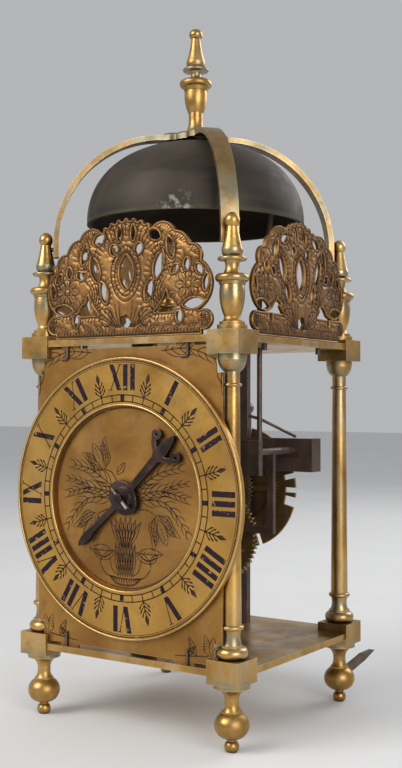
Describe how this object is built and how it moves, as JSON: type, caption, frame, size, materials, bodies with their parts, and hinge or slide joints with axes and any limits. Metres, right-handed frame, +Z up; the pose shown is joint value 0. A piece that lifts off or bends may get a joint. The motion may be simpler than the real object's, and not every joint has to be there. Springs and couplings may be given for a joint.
{
  "type": "lantern clock",
  "caption": "Brass lantern clock: pierced frets, bell under crossed straps, engraved dial with one hand, and an iron-framed movement with going and striking trains.",
  "frame": {"origin": "on the plane of the feet, under the middle of the clock's outer box", "axes": "+Z up, the dial faces -Y, +X is the right-hand side seen from the front"},
  "size_m": [0.152, 0.1792, 0.4],
  "materials": {
    "frame_brass": "aged and handled, worn bright on the edges",
    "strap_brass": "dull brown brass",
    "fret_brass": "engraved, reddish and stained",
    "dial_brass": "engraved, brown and matt",
    "ring_brass": "rubbed, satin",
    "bell_metal": "dark turned bronze",
    "movement_brass": "dirty and dull",
    "wrought_iron": "dark brown rust patina"
  },
  "bodies": {
    "frame": {"bottom_plate": "frame_brass", "top_plate": "frame_brass", "pillar_front_left": "frame_brass", "pillar_front_right": "frame_brass", "pillar_rear_left": "frame_brass", "pillar_rear_right": "frame_brass", "finial_front_left": "frame_brass", "finial_front_right": "frame_brass", "finial_rear_left": "frame_brass", "finial_rear_right": "frame_brass", "foot_front_left": "frame_brass", "foot_front_right": "frame_brass", "foot_rear_left": "frame_brass", "foot_rear_right": "frame_brass", "bell_strap_front_left": "strap_brass", "bell_strap_front_right": "strap_brass", "bell_strap_rear_left": "strap_brass", "bell_strap_rear_right": "strap_brass", "strap_crown": "strap_brass", "centre_finial": "frame_brass", "bell": "bell_metal", "bell_nut": "wrought_iron", "fret_front": "fret_brass", "fret_left": "fret_brass", "fret_right": "fret_brass", "fret_screws": "wrought_iron", "dial_plate": "dial_brass", "chapter_ring": "ring_brass", "ring_rivets": "ring_brass", "dial_pins": "wrought_iron", "front_bar": "wrought_iron", "centre_bar": "wrought_iron", "rear_bar": "wrought_iron", "bar_wedges": "wrought_iron", "wall_spurs": "wrought_iron", "hanging_hoop": "wrought_iron"},
    "going_great": {"going_great_wheel": "movement_brass", "going_great_arbor": "wrought_iron"},
    "going_pulley": {"going_rope_pulley": "movement_brass"},
    "second": {"second_wheel": "movement_brass"},
    "escape": {"escape_wheel": "movement_brass"},
    "anchor": {"pallets": "wrought_iron", "pallet_arbor": "wrought_iron"},
    "hour_motion": {"dial_wheel": "movement_brass", "hand_arbor": "wrought_iron", "hour_hand": "wrought_iron", "hand_pin": "wrought_iron"},
    "strike_great": {"strike_great_wheel": "movement_brass", "strike_great_arbor": "wrought_iron"},
    "strike_pulley": {"strike_rope_pulley": "movement_brass"},
    "hoop": {"hoop_wheel": "movement_brass"},
    "warning": {"warning_wheel": "movement_brass"},
    "fly": {"fly": "movement_brass"},
    "count": {"count_wheel": "movement_brass"},
    "hammer": {"hammer": "wrought_iron", "hammer_head": "wrought_iron"},
    "detent": {"detent_lever": "wrought_iron"},
    "latch_left": {"dial_latch_left": "wrought_iron"},
    "latch_right": {"dial_latch_right": "wrought_iron"}
  },
  "joints": [
    {"name": "going_great_turn", "type": "hinge", "parent": "frame", "child": "going_great", "pos_m": [0, -0.0154, 0.0919], "axis": [0, 1, 0], "continuous": true},
    {"name": "going_wind", "type": "hinge", "parent": "going_great", "child": "going_pulley", "pos_m": [0, -0.0154, 0.0919], "axis": [0, 1, 0], "continuous": true},
    {"name": "second_turn", "type": "hinge", "parent": "frame", "child": "second", "pos_m": [0, -0.0154, 0.1217], "axis": [0, 1, 0], "continuous": true},
    {"name": "escape_turn", "type": "hinge", "parent": "frame", "child": "escape", "pos_m": [0, -0.0154, 0.1472], "axis": [0, 1, 0], "continuous": true},
    {"name": "hand_turn", "type": "hinge", "parent": "frame", "child": "hour_motion", "pos_m": [0, -0.0154, 0.127], "axis": [0, 1, 0], "continuous": true},
    {"name": "anchor_rock", "type": "hinge", "parent": "frame", "child": "anchor", "pos_m": [0, -0.0154, 0.1752], "axis": [0, 1, 0], "range_deg": [-4, 4]},
    {"name": "strike_great_turn", "type": "hinge", "parent": "frame", "child": "strike_great", "pos_m": [0, -0.0154, 0.09798], "axis": [0, 1, 0], "continuous": true},
    {"name": "strike_wind", "type": "hinge", "parent": "strike_great", "child": "strike_pulley", "pos_m": [0, -0.0154, 0.09798], "axis": [0, 1, 0], "continuous": true},
    {"name": "hoop_turn", "type": "hinge", "parent": "frame", "child": "hoop", "pos_m": [-0.0045, -0.0154, 0.12744], "axis": [0, 1, 0], "continuous": true},
    {"name": "warning_turn", "type": "hinge", "parent": "frame", "child": "warning", "pos_m": [0, -0.0154, 0.15223], "axis": [0, 1, 0], "continuous": true},
    {"name": "fly_turn", "type": "hinge", "parent": "frame", "child": "fly", "pos_m": [0.0185, -0.0154, 0.14836], "axis": [0, 1, 0], "continuous": true},
    {"name": "count_turn", "type": "hinge", "parent": "frame", "child": "count", "pos_m": [0, -0.0154, 0.1255], "axis": [0, 1, 0], "continuous": true},
    {"name": "hammer_swing", "type": "hinge", "parent": "frame", "child": "hammer", "pos_m": [0.04, -0.0154, 0.15], "axis": [0, 1, 0], "range_deg": [-8, 0]},
    {"name": "detent_lift", "type": "hinge", "parent": "frame", "child": "detent", "pos_m": [-0.04, -0.0154, 0.15], "axis": [0, -1, 0], "range_deg": [0, 8]},
    {"name": "latch_left_turn", "type": "hinge", "parent": "frame", "child": "latch_left", "pos_m": [-0.041, -0.0828, 0.205], "axis": [0, 0, 1], "range_deg": [0, 90]},
    {"name": "latch_right_turn", "type": "hinge", "parent": "frame", "child": "latch_right", "pos_m": [0.041, -0.0828, 0.205], "axis": [0, 0, 1], "range_deg": [0, 90]}
  ],
  "couplings": [
    {"joint": "second_turn", "follows": "going_great_turn", "ratio": -8},
    {"joint": "escape_turn", "follows": "going_great_turn", "ratio": 60},
    {"joint": "hand_turn", "follows": "going_great_turn", "ratio": -0.083333},
    {"joint": "hoop_turn", "follows": "strike_great_turn", "ratio": -8},
    {"joint": "warning_turn", "follows": "strike_great_turn", "ratio": 64},
    {"joint": "fly_turn", "follows": "strike_great_turn", "ratio": -512},
    {"joint": "count_turn", "follows": "strike_great_turn", "ratio": -0.10256}
  ]
}
